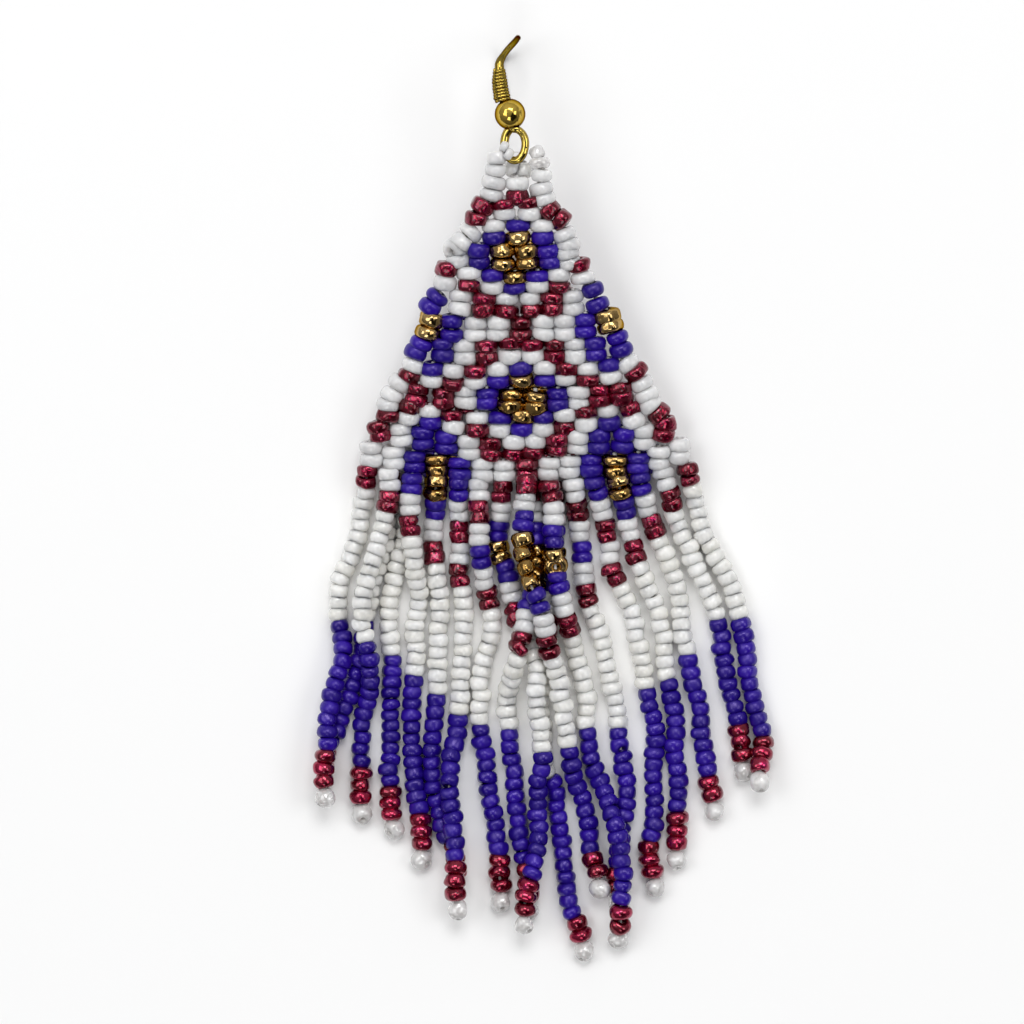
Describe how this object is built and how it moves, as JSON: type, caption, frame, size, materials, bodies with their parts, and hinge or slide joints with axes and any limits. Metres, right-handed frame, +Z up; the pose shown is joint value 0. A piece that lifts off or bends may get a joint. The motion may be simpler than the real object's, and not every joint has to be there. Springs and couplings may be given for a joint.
{
  "type": "beaded drop earring",
  "caption": "Seed-bead drop earring on a fish-hook ear wire with a coil and ball: a patterned triangle of paired beads with a long bead fringe.",
  "frame": {"origin": "middle of the box around the earring as it lies, on the surface that it rests on", "axes": "+Y from the fringe towards the hook, +X to the right as seen from the front, +Z up from the surface to the viewer"},
  "size_m": [0.0456, 0.0914, 0.0104],
  "materials": {
    "gold_wire": "polished",
    "seed_beads": "glossy seed beads in opaque white, satin violet blue, foil-lined burgundy red and metallic gold, with pale translucent tips",
    "white_beads": "opaque, softly glossy"
  },
  "bodies": {
    "root": {"ear_wire": "gold_wire", "wire_coil": "gold_wire", "ball_bead": "gold_wire", "top_loop": "white_beads", "back_loop": "white_beads", "row_01": "seed_beads", "row_02": "seed_beads", "row_03": "seed_beads", "row_04": "seed_beads", "row_05": "seed_beads", "row_06": "seed_beads", "row_07": "seed_beads", "row_08": "seed_beads", "row_09": "seed_beads", "row_10": "seed_beads", "row_11": "seed_beads", "row_12": "seed_beads", "row_13": "seed_beads", "strand_01": "seed_beads", "strand_02": "seed_beads", "strand_03": "seed_beads", "strand_04": "seed_beads", "strand_05": "seed_beads", "strand_06": "seed_beads", "strand_07": "seed_beads", "strand_08": "seed_beads", "strand_09": "seed_beads", "strand_10": "seed_beads", "strand_11": "seed_beads", "strand_12": "seed_beads", "strand_13": "seed_beads", "strand_14": "seed_beads", "strand_15": "seed_beads", "under_strand_01": "seed_beads", "under_strand_02": "seed_beads", "under_strand_03": "seed_beads", "under_strand_04": "seed_beads"}
  },
  "joints": []
}
